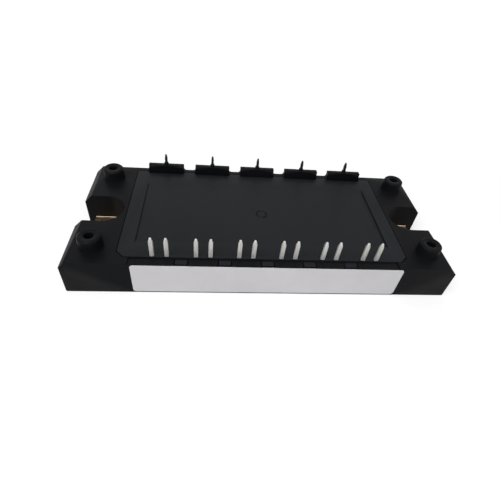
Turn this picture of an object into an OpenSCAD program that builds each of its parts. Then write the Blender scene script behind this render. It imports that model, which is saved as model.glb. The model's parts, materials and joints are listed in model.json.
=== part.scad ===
// Six-pack power module: a plastic frame with four board posts, glued on a metal base plate,
// closed by a flush snap-in lid, with 12 control pins in front and 5 power pins behind.
// Units are millimetres. The origin is the middle of the base plate's underside.
// +X runs along the module, +Y towards the power pins, +Z up.

/* [Frame] */
// Width of the frame along Y
frame_width = 45; // [40.5:0.5:60]
// Height of the frame's top face above the mounting surface
frame_top = 11.1; // [10:0.1:14]
// Height of the frame's lower edge above the mounting surface
frame_bottom = 0.2; // [0.1:0.1:2.4]
// Distance from a mounting hole to the frame's end
end_length = 7.25; // [6:0.05:12]
// Radius of the frame's upright corners
frame_corner_r = 0.6; // [0.2:0.1:1.5]
// Width and height of the slope along the top of each end
end_bevel = 2.3; // [0.5:0.1:2.8]
// Height of the bonding shelf's top
shelf_top = 5.3; // [4.8:0.1:6.4]
// Width of the bonding shelf along each long wall
shelf_width = 2; // [1:0.1:2.5]

/* [Mounting] */
// Distance between the two mounting holes
mount_spacing = 93; // [83.5:0.5:120]
// Diameter of the mounting holes in the base plate
mount_hole_d = 5.5; // [4:0.1:7]
// Width of the open slot in each end of the frame
slot_width = 11.6; // [9:0.1:16]
// Wall between each end slot and the lid
slot_wall = 0.8; // [0.5:0.05:3]
// Distance between the board posts across the module
post_spacing_y = 32; // [28:0.5:36]
// Height of the post tops above the mounting surface
post_top = 14.8; // [13.3:0.1:20]
// Diameter of a post at its top
post_d = 6.1; // [5:0.1:7]
// Widening of a post's side from its top down to its foot
post_draft = 0.25; // [0:0.05:0.5]
// Diameter of the screw hole in a post
post_hole_d = 2.3; // [1.5:0.1:3]
// Depth of the screw hole in a post
post_hole_depth = 9; // [4:0.5:11]
// Width of the bevel round a post's top and its hole
post_bevel = 0.4; // [0.1:0.05:0.8]

/* [Base plate] */
// Thickness of the base plate
plate_t = 3; // [2.7:0.1:4]
// Distance of the base plate's edge inside the frame's outer face
plate_inset = 2.2; // [1:0.1:3]
// Radius of the base plate's corners
plate_corner_r = 1.5; // [0.5:0.1:4]
// Gap between the base plate's edge and the frame round it
plate_gap = 0.15; // [0.1:0.05:0.5]
// Thickness of the adhesive between base plate and frame
adhesive_t = 0.2; // [0.1:0.05:0.4]

/* [Lid] */
// Thickness of the lid
lid_t = 1.5; // [1:0.1:2]
// Width of the parting groove round the lid
lid_gap = 0.2; // [0.1:0.05:0.5]
// Width of the lid's rest on each end wall of the cavity
lid_rest = 1.2; // [0.5:0.1:3]
// Rim of the lid in front of the holes for the control pins
lid_rim = 0.2; // [0.1:0.05:1]
// Cut of the lid's front corners
lid_corner = 2; // [0.5:0.1:4]
// Distance of the sunken panel from the lid's ends
panel_ends = 4; // [2:0.1:12]
// Distance of the sunken panel from the lid's front edge
panel_front = 6.1; // [2:0.1:12]
// Distance of the sunken panel from the lid's rear edge
panel_rear = 6.9; // [2:0.1:12]
// Depth of the sunken panel in the lid
panel_depth = 0.45; // [0.1:0.05:0.8]
// Run of the slope along the sunken panel's front and rear
panel_slope = 1.6; // [0.1:0.1:3]
// Diameter of the moulding mark in the middle of the lid
gate_d = 2.6; // [1.5:0.1:4]
// Width of the ring round the moulding mark
gate_ring = 0.5; // [0.2:0.1:1]
// Depth of the ring round the moulding mark
gate_depth = 0.25; // [0.1:0.05:0.3]

/* [Front ledge] */
// Length of the lowered ledge above the label
ledge_length = 73; // [60:0.5:82]
// Depth of the ledge below the frame's top face
ledge_drop = 0.4; // [0.1:0.05:0.8]
// Width of the pockets between the pin pairs
pocket_width = 3.8; // [2:0.1:5]
// Depth of the pockets below the frame's top face
pocket_depth = 4.2; // [2:0.1:5]
// Thickness of the lid's tongues in the pockets
tongue_t = 2.1; // [0.5:0.1:2.3]
// Gap on each side of a tongue
tongue_gap = 0.3; // [0.1:0.05:0.5]
// Width of the notch between a tongue and the lid's front edge
notch_width = 0.4; // [0.1:0.05:0.6]
// Thickness of the lid's strip that carries a tongue, under the notch
notch_web = 0.4; // [0.2:0.05:0.8]

/* [Rear blocks] */
// Width of a raised block
block_width = 11.4; // [6:0.1:13]
// Depth of a raised block from the rear face inwards
block_depth = 1.6; // [1.4:0.05:2.4]
// Height of a raised block above the frame's top face
block_height = 2.2; // [1:0.1:3]
// Depth of the notch in the lid's rear edge in front of each block
block_notch = 1; // [0.2:0.1:2]
// Radius at the foot of a raised block
block_fillet = 0.9; // [0.3:0.1:1.1]
// Height of the small cone round each power pin
boss_height = 0.8; // [0.3:0.1:1.5]
// Width of the cone's rim beside the pin
boss_rim = 0.1; // [0:0.05:0.15]

/* [Pins] */
// Grid that all the pins stand on
pin_grid = 3.81; // [3.4:0.01:4.3]
// Height of the pin tips above the mounting surface
pin_tip = 17.1; // [16:0.1:22]
// Width of a pin's flat face
pin_width = 1.15; // [0.8:0.05:1.3]
// Thickness of a pin
pin_t = 0.8; // [0.5:0.05:1]
// Length of a pin's tapered tip
pin_taper = 1.2; // [0.5:0.1:2.5]
// Width left at the end of a pin's tip
pin_tip_width = 0.5; // [0.2:0.05:0.75]
// Gap between a pin and the lid round it
pin_gap = 0.15; // [0.05:0.05:0.3]
// Distance of the control pins from the frame's front face
control_inset = 3.45; // [3:0.05:4.5]
// Wall between the control pins and the cavity
control_wall = 0.45; // [0.3:0.05:1]
// Distance of the pins' feet from the bonding shelf's edge
foot_setback = 0.3; // [0.1:0.05:0.6]
// Width of a power pin's foot
power_foot_width = 3.4; // [2:0.1:5]

/* [Label] */
// Length of the blank label
label_length = 73.8; // [40:0.2:90]
// Distance of the label's middle from the middle of the module
label_shift = 1; // [-3:0.1:3]
// Distance from the ledge down to the label's upper edge
label_drop = 0.15; // [0.1:0.05:0.5]
// Distance from the frame's lower edge up to the label
label_foot = 0.25; // [0.25:0.05:4]
// Thickness of the label
label_t = 0.12; // [0.05:0.01:0.3]
// Radius of the label's corners
label_r = 0.9; // [0.3:0.1:2.5]
// Gap round the label in its shallow seat
label_gap = 0.1; // [0.05:0.05:0.2]

/* [Circuit] */
// Gap between neighbouring ceramic substrates
substrate_gap = 1.2; // [0.4:0.1:2.5]
// Distance of the substrates from the bonding shelves
substrate_margin = 1.2; // [0.5:0.1:2]
// Thickness of the solder under a substrate
solder_t = 0.2; // [0.1:0.05:0.3]
// Thickness of a substrate's copper on either side
copper_t = 0.3; // [0.2:0.05:0.4]
// Thickness of a substrate's ceramic
ceramic_t = 0.38; // [0.25:0.01:0.63]
// Bare rim of ceramic round the copper
copper_rim = 0.5; // [0.3:0.05:0.8]
// Gap between neighbouring copper tracks
track_gap = 0.8; // [0.4:0.05:1.2]
// Length of the copper pads for the control pins' wires
pin_pad_length = 3.6; // [3:0.1:5]
// Width of the copper track along the rear edge
bus_width = 3; // [2:0.1:4]
// Side of an IGBT chip
igbt_side = 8.4; // [6:0.1:9.2]
// Side of a diode chip
diode_side = 6; // [4:0.1:7]
// Distance of the chips from the ends of their track
chip_margin = 0.9; // [0.5:0.1:1.5]
// Thickness of a chip
chip_t = 0.25; // [0.12:0.01:0.4]
// Thickness of a bond wire
wire_t = 0.4; // [0.2:0.05:0.5]
// Distance of a wire's end inside the edge of its chip or pad
wire_inset = 1.2; // [0.8:0.1:1.4]
// Distance between neighbouring wires on a chip
wire_spacing = 1.6; // [0.8:0.1:2]
// Rise of a wire's loop over its higher end
wire_rise = 1.4; // [1:0.1:1.6]
// Depth of silicone gel over the highest wire
gel_cover = 0.4; // [0.1:0.1:1]

/* [Hidden] */
$fn = 64;
cut = 1;

PAIRS = 6;
POWER_PINS = 5;
SUBSTRATES = 3;
pair_pitch = 3 * pin_grid;
power_pitch = 4 * pin_grid;
substrate_pitch = 2 * pair_pitch;
function pair_x(i) = (i - (PAIRS - 1) / 2) * pair_pitch;
function control_x(i) = pair_x(floor(i / 2)) + (i % 2 - 0.5) * pin_grid;
function power_x(i) = (i - (POWER_PINS - 1) / 2) * power_pitch;
function substrate_x(i) = (i - (SUBSTRATES - 1) / 2) * substrate_pitch;

// Along X, from the mounting holes out to the ends and in to the cavity
post_x = mount_spacing / 2;
frame_length = mount_spacing + 2 * end_length;
plate_length = frame_length - 2 * plate_inset;
lid_length = mount_spacing - slot_width - 2 * slot_wall - 2 * lid_gap;
cavity_length = lid_length - 2 * lid_rest;
substrate_width = substrate_pitch - substrate_gap;

// Along Y, from the front and rear faces inwards
front_y = -frame_width / 2;
post_y = post_spacing_y / 2;
control_y = front_y + control_inset;
lid_front = control_y - pin_t / 2 - pin_gap - lid_rim;
block_y = frame_width / 2 - block_depth;
lid_rear = block_y - lid_gap;
power_y = frame_width / 2 - block_depth / 2;
cavity_y = -control_y - pin_t / 2 - control_wall;
shelf_y = cavity_y - shelf_width;
foot_y = shelf_y + foot_setback;
plate_width = frame_width - 2 * plate_inset;
ledge_reach = lid_front + lid_gap - front_y;
tongue_root = lid_gap / 3;

// Heights
ledge_top = frame_top - ledge_drop;
lid_bottom = frame_top - lid_t;
panel_z = frame_top - panel_depth;
pocket_floor = frame_top - pocket_depth;
block_top = frame_top + block_height;
seat_z = plate_t + adhesive_t;
label_z0 = frame_bottom + label_foot;
label_z1 = ledge_top - label_drop;
foot_top = shelf_top + pin_t;
gel_top = foot_top + wire_rise + gel_cover;

// Levels of the circuit's layers
lower_copper_z = plate_t + solder_t;
ceramic_z = lower_copper_z + copper_t;
track_z = ceramic_z + ceramic_t;
chip_z = track_z + copper_t;
chip_top = chip_z + chip_t;

// Places of the tracks, chips and wire ends along Y, from the edges of the copper
copper_y = shelf_y - substrate_margin - copper_rim;
chip_pad_front = -copper_y + pin_pad_length + track_gap;
chip_pad_rear = copper_y - bus_width - track_gap;
igbt_y = chip_pad_front + chip_margin + igbt_side / 2;
diode_y = chip_pad_rear - chip_margin - diode_side / 2;

// ---- shared shapes ----

// A box from z0 to z1, centred on x and y
module slab(length, width, z0, z1) {
    translate([-length / 2, -width / 2, z0]) cube([length, width, z1 - z0]);
}

// A rectangle with round corners, centred
module round_rect(length, width, r) {
    square([length - 2 * r, width], center = true);
    square([length, width - 2 * r], center = true);
    for (sx = [-1, 1], sy = [-1, 1])
        translate([sx * (length / 2 - r), sy * (width / 2 - r)]) circle(r);
}

// The same at both ends of the module
module both_ends() {
    for (side = [0, 180]) rotate(side) children();
}

module at_posts() {
    for (sx = [-1, 1], sy = [-1, 1]) translate([sx * post_x, sy * post_y, 0]) children();
}

// ---- frame ----

// Side view of the frame, with its sloping ends
module frame_profile() {
    half = frame_length / 2;
    polygon([[-half, frame_bottom], [half, frame_bottom], [half, frame_top - end_bevel],
        [half - end_bevel, frame_top], [end_bevel - half, frame_top], [-half, frame_top - end_bevel]]);
}

module frame_body() {
    intersection() {
        translate([0, 0, frame_bottom]) linear_extrude(frame_top - frame_bottom)
            round_rect(frame_length, frame_width, frame_corner_r);
        rotate([90, 0, 0]) linear_extrude(frame_width + 2 * cut, center = true) frame_profile();
    }
}

module post() {
    foot = frame_top - cut;
    translate([0, 0, foot])
        cylinder(d1 = post_d + 2 * post_draft, d2 = post_d, h = post_top - post_bevel - foot);
    translate([0, 0, post_top - post_bevel])
        cylinder(d1 = post_d, d2 = post_d - 2 * post_bevel, h = post_bevel);
}

module post_hole() {
    translate([0, 0, post_top - post_hole_depth]) cylinder(d = post_hole_d, h = post_hole_depth + cut);
    translate([0, 0, post_top - post_bevel])
        cylinder(d1 = post_hole_d, d2 = post_hole_d + 2 * (post_bevel + cut), h = post_bevel + cut);
}

// Outline of one raised block on the rear wall, seen from behind
module block_outline() {
    translate([-block_width / 2, -cut]) square([block_width, block_height + cut]);
    for (side = [0, 1]) mirror([side, 0]) difference() {
        translate([block_width / 2 - cut, -cut]) square([block_fillet + cut, block_fillet + cut]);
        translate([block_width / 2 + block_fillet, block_fillet]) circle(block_fillet);
        translate([block_width / 2, block_fillet]) square([block_fillet + cut, cut]);
    }
}

module rear_blocks() {
    for (i = [0 : POWER_PINS - 1]) {
        translate([power_x(i), frame_width / 2, frame_top]) rotate([90, 0, 0])
            linear_extrude(block_depth) block_outline();
        translate([power_x(i), power_y, block_top])
            cylinder(d1 = block_depth, d2 = pin_width + 2 * boss_rim, h = boss_height);
    }
}

// Open slot for a mounting screw in one end
module end_slot() {
    translate([post_x, 0, frame_bottom - cut]) {
        cylinder(d = slot_width, h = frame_top - frame_bottom + 2 * cut);
        translate([0, -slot_width / 2, 0])
            cube([end_length + cut, slot_width, frame_top - frame_bottom + 2 * cut]);
    }
}

// Outline of the lid, or of its seat when grown by a gap
module lid_outline(grow) {
    half = lid_length / 2 + grow;
    front = lid_front - grow;
    rear = lid_rear + grow;
    polygon([[-half, rear], [-half, front + lid_corner], [lid_corner - half, front],
        [half - lid_corner, front], [half, front + lid_corner], [half, rear]]);
}

module cavity() {
    slab(cavity_length, 2 * shelf_y, frame_bottom - cut, shelf_top + cut);
    slab(cavity_length, 2 * cavity_y, shelf_top, lid_bottom + cut);
}

// A pocket for one of the lid's tongues, open in front behind the label
module pocket() {
    translate([-pocket_width / 2, front_y - cut, pocket_floor])
        cube([pocket_width, ledge_reach + cut, pocket_depth + cut]);
}

module pockets() {
    for (i = [0 : PAIRS - 2]) translate([pair_x(i) + pair_pitch / 2, 0, 0])
        pocket();
}

module frame() {
    color([0.09, 0.09, 0.10]) difference() {
        union() {
            frame_body();
            rear_blocks();
            at_posts() post();
        }
        cavity();
        translate([0, 0, lid_bottom]) linear_extrude(lid_t + cut) lid_outline(lid_gap);
        both_ends() end_slot();
        at_posts() post_hole();
        slab(plate_length + 2 * plate_gap, plate_width + 2 * plate_gap, frame_bottom - cut, seat_z);
        translate([-ledge_length / 2, front_y - cut, ledge_top])
            cube([ledge_length, ledge_reach + cut, ledge_drop + cut]);
        pockets();
        label_shape(label_gap, label_t + cut);
        for (i = [0 : 2 * PAIRS - 1]) control_pin(i);
        for (i = [0 : POWER_PINS - 1]) power_pin(i);
    }
}

// ---- base plate and adhesive ----

module plate_outline() {
    round_rect(plate_length, plate_width, plate_corner_r);
}

module mount_holes(d) {
    for (sx = [-1, 1]) translate([sx * post_x, 0, -cut]) cylinder(d = d, h = seat_z + 2 * cut);
}

module base_plate() {
    color([0.78, 0.66, 0.55]) difference() {
        linear_extrude(plate_t) plate_outline();
        mount_holes(mount_hole_d);
    }
}

module frame_adhesive() {
    color([0.85, 0.85, 0.82]) difference() {
        translate([0, 0, plate_t]) linear_extrude(adhesive_t) plate_outline();
        slab(cavity_length, 2 * shelf_y, plate_t - cut, seat_z + cut);
        both_ends() end_slot();
    }
}

// ---- lid ----

// One tongue, hanging in its pocket and joined to the lid's front edge under a narrow notch
module tongue() {
    width = pocket_width - 2 * tongue_gap;
    translate([-width / 2, lid_front - tongue_t, 0]) {
        translate([0, 0, pocket_floor + tongue_gap])
            cube([width, tongue_t - notch_width, ledge_top - pocket_floor - tongue_gap]);
        translate([0, 0, lid_bottom]) cube([width, tongue_t + tongue_root, notch_web]);
    }
}

// The panel sunk in the lid's top, with upright ends and a sloping front and rear
module panel() {
    front = lid_front + panel_front;
    rear = lid_rear - panel_rear;
    half = panel_slope / 2;
    rotate([90, 0, 90]) linear_extrude(lid_length - 2 * panel_ends, center = true)
        polygon([[front + half, panel_z], [rear - half, panel_z], [rear + half, frame_top],
            [rear + half, frame_top + cut], [front - half, frame_top + cut], [front - half, frame_top]]);
}

// The notch in the lid's rear edge in front of one raised block
module rear_notch(i) {
    translate([power_x(i) - block_width / 2, lid_rear - block_notch, lid_bottom - cut])
        cube([block_width, block_notch + cut, lid_t + 2 * cut]);
}

module gate_mark() {
    translate([0, 0, panel_z - gate_depth]) difference() {
        cylinder(d = gate_d + 2 * gate_ring, h = gate_depth + cut);
        translate([0, 0, -cut]) cylinder(d = gate_d, h = gate_depth + 3 * cut);
    }
}

module pin_hole(i) {
    translate([control_x(i) - pin_width / 2 - pin_gap, control_y - pin_t / 2 - pin_gap, lid_bottom - cut])
        cube([pin_width + 2 * pin_gap, pin_t + 2 * pin_gap, lid_t + 2 * cut]);
}

module lid() {
    color([0.13, 0.13, 0.14]) difference() {
        union() {
            translate([0, 0, lid_bottom]) linear_extrude(lid_t) lid_outline(0);
            for (i = [0 : PAIRS - 2]) translate([pair_x(i) + pair_pitch / 2, 0, 0]) tongue();
        }
        panel();
        gate_mark();
        for (i = [0 : 2 * PAIRS - 1]) pin_hole(i);
        for (i = [0 : POWER_PINS - 1]) rear_notch(i);
    }
}

// ---- label ----

// The label's shape, grown all round by a gap, from its back out to a given depth
module label_shape(grow, depth) {
    translate([label_shift, front_y + label_t, (label_z0 + label_z1) / 2])
        rotate([90, 0, 0]) linear_extrude(depth)
            round_rect(label_length + 2 * grow, label_z1 - label_z0 + 2 * grow, label_r);
}

module label() {
    color([0.86, 0.86, 0.87]) label_shape(0, label_t);
}

// ---- pins ----

// Flat outline of a pin's blade, narrowing to its tip
module blade_outline(width, foot) {
    polygon([[-width / 2, foot], [width / 2, foot], [width / 2, pin_tip - pin_taper],
        [pin_tip_width / 2, pin_tip], [-pin_tip_width / 2, pin_tip], [-width / 2, pin_tip - pin_taper]]);
}

// A blade whose flat faces look along Y
module blade() {
    intersection() {
        rotate([90, 0, 0]) linear_extrude(pin_t, center = true) blade_outline(pin_width, shelf_top);
        rotate([90, 0, 90]) linear_extrude(pin_width, center = true) blade_outline(pin_t, shelf_top);
    }
}

module control_pin(i) {
    back = control_y - pin_t / 2;
    color([0.80, 0.80, 0.78]) translate([control_x(i), 0, 0]) {
        translate([0, control_y, 0]) blade();
        translate([-pin_width / 2, back, shelf_top]) cube([pin_width, -foot_y - back, pin_t]);
    }
}

module power_pin(i) {
    color([0.80, 0.80, 0.78]) translate([power_x(i), 0, 0]) {
        translate([0, power_y, 0]) rotate(90) blade();
        translate([-pin_t / 2, foot_y, shelf_top]) cube([pin_t, power_y + pin_width / 2 - foot_y, pin_t]);
        translate([-power_foot_width / 2, foot_y, shelf_top])
            cube([power_foot_width, cavity_y - foot_y, pin_t]);
    }
}

// ---- circuit ----

module substrate_layer(i, rim, z, t) {
    translate([substrate_x(i), 0, 0])
        slab(substrate_width - 2 * rim, 2 * (copper_y + copper_rim - rim), z, z + t);
}

module solder_layer(i) {
    color([0.62, 0.62, 0.64]) substrate_layer(i, copper_rim, plate_t, solder_t);
}

module lower_copper(i) {
    color([0.80, 0.50, 0.34]) substrate_layer(i, copper_rim, lower_copper_z, copper_t);
}

module ceramic_plate(i) {
    color([0.93, 0.93, 0.90]) substrate_layer(i, 0, ceramic_z, ceramic_t);
}

module track(x0, x1, y0, y1) {
    translate([x0, y0, track_z]) cube([x1 - x0, y1 - y0, copper_t]);
}

module copper_tracks(i) {
    half = substrate_width / 2 - copper_rim;
    color([0.80, 0.50, 0.34]) translate([substrate_x(i), 0, 0]) {
        track(-half, -track_gap / 2, chip_pad_front, chip_pad_rear);
        track(track_gap / 2, half, chip_pad_front, chip_pad_rear);
        track(-half, half, chip_pad_rear + track_gap, copper_y);
    }
    color([0.80, 0.50, 0.34]) for (k = [4 * i : 4 * i + 3])
        track(control_x(k) - (pin_grid - track_gap) / 2, control_x(k) + (pin_grid - track_gap) / 2,
            -copper_y, -copper_y + pin_pad_length);
}

module chip(x, y, side) {
    translate([x, y, 0]) slab(side, side, chip_z, chip_top);
}

module igbt_chip(i) {
    color([0.35, 0.36, 0.40]) chip(pair_x(i), igbt_y, igbt_side);
}

module diode_chip(i) {
    color([0.42, 0.43, 0.46]) chip(pair_x(i), diode_y, diode_side);
}

// Upper outline of a wire's loop: a flat top with a quarter round at each end
module loop(width, rise) {
    intersection() {
        union() {
            for (side = [-1, 1]) translate([side * (width / 2 - rise), 0]) circle(rise);
            translate([rise - width / 2, 0]) square([width - 2 * rise, rise]);
        }
        translate([-width / 2, 0]) square([width, rise]);
    }
}

// One wire along Y at x, from (y0, z0) to (y1, z1)
module wire(x, y0, z0, y1, z1) {
    width = y1 - y0 + wire_t;
    top = max(z0, z1);
    translate([x, (y0 + y1) / 2, top]) rotate([90, 0, 90]) linear_extrude(wire_t, center = true) {
        difference() {
            loop(width, wire_rise);
            loop(width - 2 * wire_t, wire_rise - wire_t);
        }
        if (top > z0) translate([-width / 2, z0 - top]) square([wire_t, top - z0]);
        if (top > z1) translate([width / 2 - wire_t, z1 - top]) square([wire_t, top - z1]);
    }
}

// Wires from the front pads to the IGBTs, on to the diodes and to the rear bus
module chip_wires(i) {
    color([0.85, 0.85, 0.87]) {
        for (k = [4 * i : 4 * i + 3])
            wire(control_x(k), -copper_y + pin_pad_length - wire_inset, chip_z,
                igbt_y - igbt_side / 2 + wire_inset, chip_top);
        for (k = [2 * i : 2 * i + 1], n = [-1 : 1]) {
            wire(pair_x(k) + n * wire_spacing, igbt_y + igbt_side / 2 - wire_inset, chip_top,
                diode_y - diode_side / 2 + wire_inset, chip_top);
            wire(pair_x(k) + n * wire_spacing, diode_y + diode_side / 2 - wire_inset, chip_top,
                copper_y - bus_width + wire_inset / 2, chip_z);
        }
    }
}

module control_pin_wires() {
    color([0.85, 0.85, 0.87]) for (i = [0 : 2 * PAIRS - 1])
        wire(control_x(i), -foot_y - wire_t, foot_top, -copper_y + wire_inset, chip_z);
}

module power_pin_wires() {
    color([0.85, 0.85, 0.87]) for (i = [0 : POWER_PINS - 1], n = [-1, 1])
        wire(power_x(i) + n * wire_inset, copper_y - wire_inset / 2, chip_z, foot_y + wire_t, foot_top);
}

module silicone_gel() {
    color([0.80, 0.86, 0.88]) difference() {
        union() {
            slab(cavity_length, 2 * shelf_y, plate_t, shelf_top + cut);
            slab(cavity_length, 2 * cavity_y, shelf_top, gel_top);
        }
        for (i = [0 : SUBSTRATES - 1]) {
            solder_layer(i);
            lower_copper(i);
            ceramic_plate(i);
            copper_tracks(i);
            chip_wires(i);
        }
        for (i = [0 : PAIRS - 1]) {
            igbt_chip(i);
            diode_chip(i);
        }
        for (i = [0 : 2 * PAIRS - 1]) control_pin(i);
        for (i = [0 : POWER_PINS - 1]) power_pin(i);
        control_pin_wires();
        power_pin_wires();
    }
}

base_plate();
frame_adhesive();
frame();
lid();
label();
for (i = [0 : 2 * PAIRS - 1]) control_pin(i);
for (i = [0 : POWER_PINS - 1]) power_pin(i);
for (i = [0 : SUBSTRATES - 1]) {
    solder_layer(i);
    lower_copper(i);
    ceramic_plate(i);
    copper_tracks(i);
    chip_wires(i);
}
for (i = [0 : PAIRS - 1]) {
    igbt_chip(i);
    diode_chip(i);
}
control_pin_wires();
power_pin_wires();
silicone_gel();
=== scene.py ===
"""Dresses the power module: softened plastic mouldings, tinned pins, a pale blank label and a
copper base plate, on a plain pale floor."""
import json
import math

import bmesh
import bpy
from mathutils import Matrix, Vector


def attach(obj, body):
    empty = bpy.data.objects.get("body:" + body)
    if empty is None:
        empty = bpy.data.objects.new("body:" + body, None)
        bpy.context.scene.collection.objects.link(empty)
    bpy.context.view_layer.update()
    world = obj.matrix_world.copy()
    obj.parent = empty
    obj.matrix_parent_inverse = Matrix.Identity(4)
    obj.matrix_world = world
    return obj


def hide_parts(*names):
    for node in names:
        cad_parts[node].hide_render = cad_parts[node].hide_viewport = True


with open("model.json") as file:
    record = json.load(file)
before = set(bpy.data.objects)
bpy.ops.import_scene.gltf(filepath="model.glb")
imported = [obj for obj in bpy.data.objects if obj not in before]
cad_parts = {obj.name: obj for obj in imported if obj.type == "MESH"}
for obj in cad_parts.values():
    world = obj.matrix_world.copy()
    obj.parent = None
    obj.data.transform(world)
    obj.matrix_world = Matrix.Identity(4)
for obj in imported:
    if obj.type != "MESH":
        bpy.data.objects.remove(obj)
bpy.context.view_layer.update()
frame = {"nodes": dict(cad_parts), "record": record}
NODES = frame["nodes"]
SLOTS = {part["node"]: part["material_slot"] for part in frame["record"]["subparts"]}
MM = 0.001

# Camera: lens and sensor in millimetres, shift in sensor widths, angles in degrees, aim and
# distance in metres. What is nearer than NEAREST_SEEN isn't seen.
CAMERA_LENS = 27.16
CAMERA_SENSOR = 36
CAMERA_SHIFT = 0.002
CAMERA_AZIMUTH = -8.19
CAMERA_ELEVATION = 43.73
CAMERA_ROLL = 6.98
CAMERA_AIM = (-4.07 * MM, -11.26 * MM, 5.8 * MM)
CAMERA_DISTANCE = 110.45 * MM
NEAREST_SEEN = 5 * MM

# Soft lamps, all aimed at the module: name, place and size in metres, power in watts.
SOFTBOXES = (
    ("key", (-0.22, -0.30, 0.48), (0.5, 0.4), 3),
    ("fill", (0.5, -0.35, 0.35), (0.5, 0.4), 0.9),
    ("rear", (-0.08, 0.6, 0.45), (0.6, 0.3), 0.5),
)

# How strongly the room lights things, and how white it is where it is seen.
ROOM_LIGHT = 0.4
SEEN_WHITE = 1.0

# Floor, in metres. Its glow is even up to GLOW_START from the module and white past GLOW_FULL.
FLOOR_HALF = 1.5
FLOOR_DROP = 0.05 * MM
FLOOR_GREY = 0.52
GLOW_START = 0.1
GLOW_FULL = 0.6
GLOW_BESIDE_MODULE = 0.5

# How wide the edges of the mouldings, the plate, the label and the pins are rounded.
ROUNDING = {"frame": 0.2 * MM, "lid": 0.18 * MM, "base_plate": 0.2 * MM, "label": 0.05 * MM}
PIN_ROUNDING = 0.16 * MM
ROUNDING_STEPS = 2

# Which edges are rounded: those sharper than this, where the edges beside them are longer than
# this many times the rounding.
SHARP_EDGE = math.radians(24)
ROOM_FOR_ROUNDING = 1.6

# Which corners and faces count as one before the rounding, and which edges stay crisp after it.
MERGE_WITHIN = 0.002 * MM
FLAT_WITHIN = math.radians(1)
CRISP_EDGE = math.radians(35)
LARGE_FACE_WEIGHT = 80

# The band in which nearly all the values of a noise lie.
NOISE_LOW = 0.3
NOISE_HIGH = 0.7


# ---- finishes ----

def either(nodes, first, second):
    """1 where at least one of two switches is 1."""
    node = nodes.new("ShaderNodeMath")
    node.operation = "MAXIMUM"
    nodes.id_data.links.new(first, node.inputs[0])
    nodes.id_data.links.new(second, node.inputs[1])
    return node.outputs[0]


def seen_directly(nodes):
    """1 for what the camera sees straight, in a mirror or through glass, else 0."""
    path = nodes.new("ShaderNodeLightPath").outputs
    straight_or_through = either(nodes, path["Is Camera Ray"], path["Is Transmission Ray"])
    return either(nodes, straight_or_through, path["Is Glossy Ray"])


class Finish:
    """A material being wired up, with short calls for the nodes that the finishes share."""

    def __init__(self, name):
        self.material = bpy.data.materials.new(name)
        self.material.use_nodes = True
        self.nodes = self.material.node_tree.nodes
        self.links = self.material.node_tree.links
        self.shade = self.nodes["Principled BSDF"]
        self.place = self.nodes.new("ShaderNodeTexCoord").outputs["Object"]

    def set(self, socket, value):
        self.shade.inputs[socket].default_value = value

    def stretched(self, scale):
        """The place on the piece, stretched along an axis where scale is under 1."""
        mapping = self.nodes.new("ShaderNodeMapping")
        mapping.inputs["Scale"].default_value = scale
        self.links.new(self.place, mapping.inputs["Vector"])
        return mapping.outputs["Vector"]

    def noise(self, size, detail=2, place=None):
        """Noise whose blobs are about size metres across."""
        node = self.nodes.new("ShaderNodeTexNoise")
        node.inputs["Scale"].default_value = 1 / size
        node.inputs["Detail"].default_value = detail
        self.links.new(place or self.place, node.inputs["Vector"])
        return node.outputs["Fac"]

    def cells(self, size):
        """Small dimples, about size metres apart."""
        node = self.nodes.new("ShaderNodeTexVoronoi")
        node.inputs["Scale"].default_value = 1 / size
        self.links.new(self.place, node.inputs["Vector"])
        return node.outputs["Distance"]

    def range(self, value, low, high, start=NOISE_LOW, end=NOISE_HIGH):
        """Level that goes from low to high as the value goes from start to end."""
        node = self.nodes.new("ShaderNodeMapRange")
        node.inputs["From Min"].default_value = start
        node.inputs["From Max"].default_value = end
        node.inputs["To Min"].default_value = low
        node.inputs["To Max"].default_value = high
        self.links.new(value, node.inputs["Value"])
        return node.outputs["Result"]

    def colour(self, value, dark, light, start=NOISE_LOW, end=NOISE_HIGH):
        """Base colour that goes from dark to light as the value goes from start to end."""
        node = self.nodes.new("ShaderNodeValToRGB")
        first, last = node.color_ramp.elements
        first.position, last.position = start, end
        first.color = (*dark, 1)
        last.color = (*light, 1)
        self.links.new(value, node.inputs["Fac"])
        self.links.new(node.outputs["Color"], self.shade.inputs["Base Color"])

    def roughness(self, value, smooth, rough):
        self.links.new(self.range(value, smooth, rough), self.shade.inputs["Roughness"])

    def bump(self, height, depth):
        """Relief of depth metres; a second call adds to the first."""
        node = self.nodes.new("ShaderNodeBump")
        node.inputs["Distance"].default_value = depth
        node.inputs["Strength"].default_value = 1
        self.links.new(height, node.inputs["Height"])
        normal = self.shade.inputs["Normal"]
        if normal.links:
            self.links.new(normal.links[0].from_socket, node.inputs["Normal"])
        self.links.new(node.outputs["Normal"], normal)


def moulded_plastic(name, dark, light, smooth, rough, shine):
    """Black moulded plastic with a fine eroded grain and a soft, uneven sheen."""
    finish = Finish(name)
    finish.colour(finish.noise(26 * MM, detail=3), dark, light)
    finish.roughness(finish.noise(14 * MM, detail=4), smooth, rough)
    finish.bump(finish.noise(0.22 * MM), depth=0.012 * MM)
    finish.bump(finish.cells(0.5 * MM), depth=0.006 * MM)
    finish.set("Specular IOR Level", shine)
    return finish.material


def label_film():
    """Pale lilac-grey film, faintly fibrous."""
    finish = Finish("label_film")
    finish.colour(finish.noise(9 * MM, detail=4), dark=(0.55, 0.54, 0.562), light=(0.60, 0.59, 0.61))
    finish.roughness(finish.noise(3 * MM, detail=3), 0.5, 0.62)
    finish.bump(finish.noise(0.3 * MM, detail=3), depth=0.004 * MM)
    return finish.material


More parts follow.
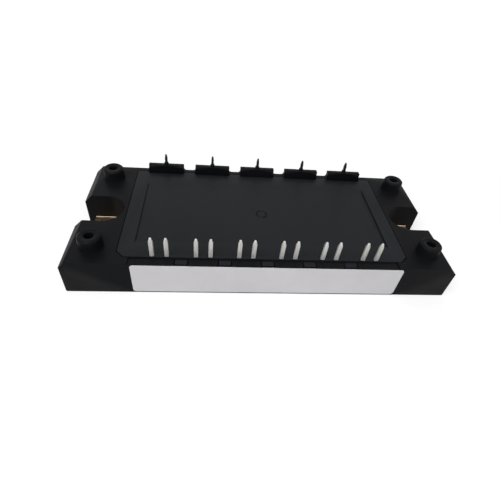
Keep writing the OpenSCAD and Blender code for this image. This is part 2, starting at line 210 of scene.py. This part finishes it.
def tinned_metal(name, dark, light, metallic):
    """Dull tin, drawn lengthwise, with faint tarnish in its streaks."""
    finish = Finish(name)
    drawn = finish.noise(0.35 * MM, detail=3, place=finish.stretched((1, 1, 0.12)))
    finish.colour(drawn, dark, light, start=0.25, end=0.6)
    finish.roughness(finish.noise(0.8 * MM, detail=3), 0.36, 0.52)
    finish.bump(drawn, depth=0.01 * MM)
    finish.set("Metallic", metallic)
    return finish.material


def metal(name, dark, light, smooth, rough, size=3 * MM):
    """Bare metal in cloudy patches of about size metres, brushed along X."""
    finish = Finish(name)
    finish.colour(finish.noise(size, detail=4), dark, light)
    finish.roughness(finish.noise(size / 2, detail=3), smooth, rough)
    finish.bump(finish.noise(0.2 * MM, place=finish.stretched((0.1, 1, 1))), depth=0.003 * MM)
    finish.set("Metallic", 1)
    return finish.material


def matter(name, dark, light, smooth, rough, clearness=0):
    """Ceramic, glue or gel, slightly uneven in colour and sheen."""
    finish = Finish(name)
    finish.colour(finish.noise(2 * MM, detail=3), dark, light)
    finish.roughness(finish.noise(2 * MM), smooth, rough)
    finish.bump(finish.noise(0.3 * MM), depth=0.003 * MM)
    finish.set("Transmission Weight", clearness)
    return finish.material


def pale_floor():
    """White that keeps the shadow: its glow is only seen, doesn't light the module and grows
    away from it."""
    finish = Finish("pale_floor")
    finish.set("Base Color", (FLOOR_GREY, FLOOR_GREY, FLOOR_GREY, 1))
    finish.set("Roughness", 1)
    finish.set("Specular IOR Level", 0)
    finish.set("Emission Color", (1, 1, 1, 1))
    away = finish.nodes.new("ShaderNodeVectorMath")
    away.operation = "LENGTH"
    finish.links.new(finish.place, away.inputs[0])
    level = finish.range(away.outputs["Value"], GLOW_BESIDE_MODULE, SEEN_WHITE, GLOW_START, GLOW_FULL)
    glow = finish.nodes.new("ShaderNodeMath")
    glow.operation = "MULTIPLY"
    finish.links.new(seen_directly(finish.nodes), glow.inputs[0])
    finish.links.new(level, glow.inputs[1])
    finish.links.new(glow.outputs[0], finish.shade.inputs["Emission Strength"])
    return finish.material


# Each finish has its darkest and lightest colour, then its smoothest and roughest sheen. Tin has
# how metallic it looks instead.
FINISHES = {
    "frame_plastic": moulded_plastic("frame_plastic", (0.0034, 0.0037, 0.0043),
                                     (0.0051, 0.0053, 0.0061), 0.45, 0.58, shine=0.05),
    "lid_plastic": moulded_plastic("lid_plastic", (0.0070, 0.0078, 0.0094),
                                   (0.0096, 0.0116, 0.0138), 0.38, 0.50, shine=0.065),
    "label_film": label_film(),
    "pin_metal": tinned_metal("bright_tin", (0.43, 0.42, 0.39), (0.56, 0.555, 0.54), 0.35),
    "plate_metal": metal("plate_metal", (0.62, 0.40, 0.22), (0.80, 0.58, 0.36), 0.25, 0.4),
    "copper": metal("copper", (0.60, 0.30, 0.18), (0.78, 0.42, 0.28), 0.3, 0.45),
    "solder": metal("solder", (0.42, 0.42, 0.44), (0.56, 0.56, 0.58), 0.35, 0.5),
    "ceramic": matter("ceramic", (0.76, 0.76, 0.72), (0.84, 0.84, 0.81), 0.5, 0.6),
    "silicon": metal("silicon", (0.16, 0.17, 0.22), (0.26, 0.27, 0.31), 0.2, 0.3),
    "wire_metal": metal("wire_metal", (0.66, 0.66, 0.68), (0.80, 0.80, 0.82), 0.25, 0.4, 1 * MM),
    "gel": matter("gel", (0.60, 0.68, 0.70), (0.68, 0.76, 0.78), 0.1, 0.2, clearness=0.85),
    "adhesive": matter("adhesive", (0.55, 0.55, 0.52), (0.62, 0.62, 0.60), 0.5, 0.65),
}
# The power pins' tin, painted nearly black: painted shade on the same tin as the control pins.
PAINTED_SHADE_TIN = tinned_metal("painted_shade_tin", (0.010, 0.010, 0.011), (0.035, 0.034, 0.034), 0.9)


# ---- camera, floor and light ----

def camera_matrix():
    """Camera place and turn: azimuth 0 looks along +Y, and a positive roll leans to the left."""
    azimuth = math.radians(CAMERA_AZIMUTH)
    elevation = math.radians(CAMERA_ELEVATION)
    roll = math.radians(CAMERA_ROLL)
    level = math.cos(elevation)
    back = Vector((math.sin(azimuth) * level, -math.cos(azimuth) * level, math.sin(elevation)))
    right = (-back).cross(Vector((0, 0, 1))).normalized()
    up = right.cross(-back)
    rolled_right = right * math.cos(roll) + up * math.sin(roll)
    rolled_up = up * math.cos(roll) - right * math.sin(roll)
    turn = Matrix((rolled_right, rolled_up, back)).transposed().to_4x4()
    return Matrix.Translation(Vector(CAMERA_AIM) + back * CAMERA_DISTANCE) @ turn


def add_camera():
    data = bpy.data.cameras.new("camera")
    data.lens = CAMERA_LENS
    data.sensor_width = CAMERA_SENSOR
    data.shift_x = CAMERA_SHIFT
    data.shift_y = CAMERA_SHIFT
    data.clip_start = NEAREST_SEEN
    camera = bpy.data.objects.new("camera", data)
    bpy.context.scene.collection.objects.link(camera)
    camera.matrix_world = camera_matrix()
    bpy.context.scene.camera = camera


def add_softbox(name, place, size, power):
    """Rectangular lamp that faces the module at the origin."""
    data = bpy.data.lights.new(name, "AREA")
    data.shape = "RECTANGLE"
    data.size, data.size_y = size
    data.energy = power
    lamp = bpy.data.objects.new(name, data)
    bpy.context.scene.collection.objects.link(lamp)
    turn = (-Vector(place)).to_track_quat("-Z", "Y").to_matrix().to_4x4()
    lamp.matrix_world = Matrix.Translation(place) @ turn


def add_world():
    """Soft even light, which shows as plain white wherever it is seen or mirrored."""
    world = bpy.data.worlds.new("studio")
    bpy.context.scene.world = world
    world.use_nodes = True
    nodes = world.node_tree.nodes
    links = world.node_tree.links
    back = nodes["Background"]
    back.inputs["Color"].default_value = (1, 1, 1, 1)
    strength = nodes.new("ShaderNodeMapRange")
    strength.inputs["To Min"].default_value = ROOM_LIGHT
    strength.inputs["To Max"].default_value = SEEN_WHITE
    links.new(seen_directly(nodes), strength.inputs["Value"])
    links.new(strength.outputs["Result"], back.inputs["Strength"])


def add_floor():
    corners = [(-FLOOR_HALF, -FLOOR_HALF, 0), (FLOOR_HALF, -FLOOR_HALF, 0),
               (FLOOR_HALF, FLOOR_HALF, 0), (-FLOOR_HALF, FLOOR_HALF, 0)]
    mesh = bpy.data.meshes.new("floor")
    mesh.from_pydata(corners, [], [(0, 1, 2, 3)])
    mesh.materials.append(pale_floor())
    floor = bpy.data.objects.new("floor", mesh)
    floor.location.z = -FLOOR_DROP
    bpy.context.scene.collection.objects.link(floor)


# ---- softened mouldings ----

def merged_copy(name):
    """A CAD node's mesh with its loose triangles merged into whole flat faces."""
    mesh = bmesh.new()
    mesh.from_mesh(NODES[name].data)
    bmesh.ops.remove_doubles(mesh, verts=mesh.verts, dist=MERGE_WITHIN)
    bmesh.ops.dissolve_limit(mesh, angle_limit=FLAT_WITHIN, verts=mesh.verts, edges=mesh.edges)
    return mesh


def is_sharp(edge):
    return edge.calc_face_angle(0) > SHARP_EDGE


def has_room(edge, width):
    """True where no neighbouring edge is too short for a rounding of this width."""
    near = {other for vert in edge.verts for other in vert.link_edges if other is not edge}
    return all(other.calc_length() > ROOM_FOR_ROUNDING * width for other in near)


def rounded_mesh(name, width):
    """A CAD node's mesh with its sharp edges rounded by width, ready for smooth shading."""
    mesh = merged_copy(name)
    edges = [edge for edge in mesh.edges if is_sharp(edge) and has_room(edge, width)]
    bmesh.ops.bevel(mesh, geom=edges, offset=width, segments=ROUNDING_STEPS, profile=0.5,
                    affect="EDGES", clamp_overlap=True)
    bmesh.ops.triangulate(mesh, faces=[face for face in mesh.faces if len(face.verts) > 4])
    data = bpy.data.meshes.new("soft_" + name)
    mesh.to_mesh(data)
    mesh.free()
    for face in data.polygons:
        face.use_smooth = True
    data.set_sharp_from_angle(angle=CRISP_EDGE)
    return data


def soften(name, width, finish):
    """Stand-in for a CAD node, with its sharp edges rounded by width."""
    piece = bpy.data.objects.new("soft_" + name, rounded_mesh(name, width))
    piece.data.materials.append(finish)
    bpy.context.scene.collection.objects.link(piece)
    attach(piece, "root")
    even = piece.modifiers.new("even_shading", "WEIGHTED_NORMAL")
    even.keep_sharp = True
    even.weight = LARGE_FACE_WEIGHT
    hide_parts(name)


def pins(row):
    """The names of one row's pins, without the row's bond wires."""
    return [name for name in NODES if name.startswith(row) and not name.endswith("_wires")]


def dress_nodes():
    for name, node in NODES.items():
        node.material_slots[0].material = FINISHES[SLOTS[name]]


# ---- the scene ----

bpy.context.scene.view_settings.view_transform = "Standard"
add_camera()
add_world()
add_floor()
for softbox in SOFTBOXES:
    add_softbox(*softbox)
dress_nodes()
for name, width in ROUNDING.items():
    soften(name, width, FINISHES[SLOTS[name]])
for name in pins("control_pin_"):
    soften(name, PIN_ROUNDING, FINISHES["pin_metal"])
# The power pins take the tin with painted shade instead of their own pin tin.
for name in pins("power_pin_"):
    soften(name, PIN_ROUNDING, PAINTED_SHADE_TIN)
